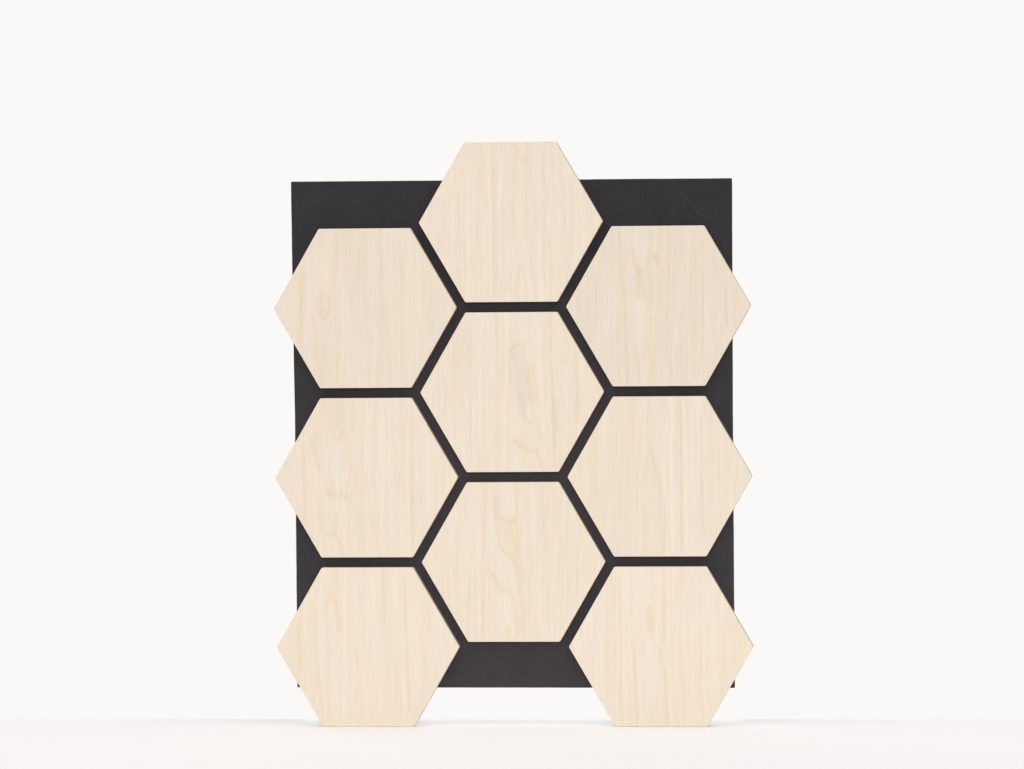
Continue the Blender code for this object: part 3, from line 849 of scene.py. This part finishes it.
stage = {
    "floorColour": "#EDEAEA",
    "floorRoughness": 0.9,
    "floorGap": 0.2,          # mm under the panel's feet
    "floorHalfWidth": 3.0,    # metres, as the places and sizes below
    "floorFront": 3.5,
    "floorBehind": 0.075,
    "roomColour": "#FBF9F7",
    "worldFill": 0.42,        # how strongly the room lights the panel
    "glowPlace": (0.0, 0.078),                # x and y of the low light behind the feet
    "glowSize": (0.52, 0.15),
    "glow": 0.85,             # its brightness, where the room's is 1
}
# Large soft sources: name, from which side and how high (degrees), how wide (degrees), strength
softLights = (
    ("frontLight", 4, 9, 22, 1.75),
    ("topLight", 10, 72, 80, 1.9),
    ("backLight", 195, 28, 60, 0.3),
)
floorHeight = cadBox[0].z - stage["floorGap"] * mm
bm = bmesh.new()
wide, near, far = stage["floorHalfWidth"], -stage["floorFront"], stage["floorBehind"]
corners = [(-wide, near), (wide, near), (wide, far), (-wide, far)]
bm.faces.new([bm.verts.new((x, y, floorHeight)) for x, y in corners])
floorMesh = bpy.data.meshes.new("floor")
bm.to_mesh(floorMesh)
bm.free()
floor = bpy.data.objects.new("floor", floorMesh)
bpy.context.scene.collection.objects.link(floor)
# Rolled matt emulsion: off-white, without any shine
floorPaint, tree, shader = newMaterial("matteFloorPaint", stage["floorRoughness"])
shader.inputs["Base Color"].default_value = linear(stage["floorColour"])
floorMesh.materials.append(floorPaint)

# The room looks white behind the panel, but the soft lights do most of the lighting
world = bpy.data.worlds.new("studio")
bpy.context.scene.world = world
world.use_nodes = True
background = world.node_tree.nodes["Background"]
background.inputs["Color"].default_value = linear(stage["roomColour"])
seen = addNode(world.node_tree, "LightPath").outputs["Is Camera Ray"]
level = addNode(world.node_tree, "MapRange", {"Value": seen, "To Min": stage["worldFill"]})
world.node_tree.links.new(level.outputs[0], background.inputs["Strength"])


def towards(azimuth, elevation):
    # From the scene's middle to the given side, at the given height above the floor
    azimuth, elevation = math.radians(azimuth), math.radians(elevation)
    return Vector((math.sin(azimuth) * math.cos(elevation), -math.cos(azimuth) * math.cos(elevation),
                   math.sin(elevation)))


for name, side, lift, spread, strength in softLights:
    lamp = bpy.data.lights.new(name, "SUN")
    lamp.angle = math.radians(spread)
    lamp.energy = strength
    light = bpy.data.objects.new(name, lamp)
    light.rotation_mode = "QUATERNION"
    light.rotation_quaternion = (-towards(side, lift)).to_track_quat("-Z", "Y")
    bpy.context.scene.collection.objects.link(light)

# Unseen, it stands at the floor's back edge and brightens the floor round the feet
glow = bpy.data.lights.new("lowGlow", "AREA")
glow.shape = "RECTANGLE"
glow.size, glow.size_y = stage["glowSize"]
glow.energy = stage["glow"] * math.pi * glow.size * glow.size_y
lowGlow = bpy.data.objects.new("lowGlow", glow)
lowGlow.location = (*stage["glowPlace"], floorHeight + glow.size_y / 2)
lowGlow.rotation_euler = (-math.pi / 2, 0, 0)
lowGlow.visible_camera = False
bpy.context.scene.collection.objects.link(lowGlow)

# Degrees and metres, but lens and sensor in mm
viewSetup = {
    "azimuth": 5.5,
    "elevation": 1.3,
    "roll": -0.48,
    "distance": 6.0,
    "lens": 179.4,
    "sensor": 36,
    "clipEnd": 50,
    "aim": (0.0002, -0.0222, 0.0590),
}
back = towards(viewSetup["azimuth"], viewSetup["elevation"])
camera = bpy.data.objects.new("camera", bpy.data.cameras.new("camera"))
bpy.context.scene.collection.objects.link(camera)
bpy.context.scene.camera = camera
camera.data.sensor_width = viewSetup["sensor"]
camera.data.lens = viewSetup["lens"]
camera.data.clip_end = viewSetup["clipEnd"]
camera.location = Vector(viewSetup["aim"]) + back * viewSetup["distance"]
camera.rotation_mode = "QUATERNION"
turn = Quaternion((0, 0, 1), math.radians(viewSetup["roll"]))
camera.rotation_quaternion = (-back).to_track_quat("-Z", "Y") @ turn
bpy.context.scene.view_settings.view_transform = "Standard"
print("floor, light and camera done")
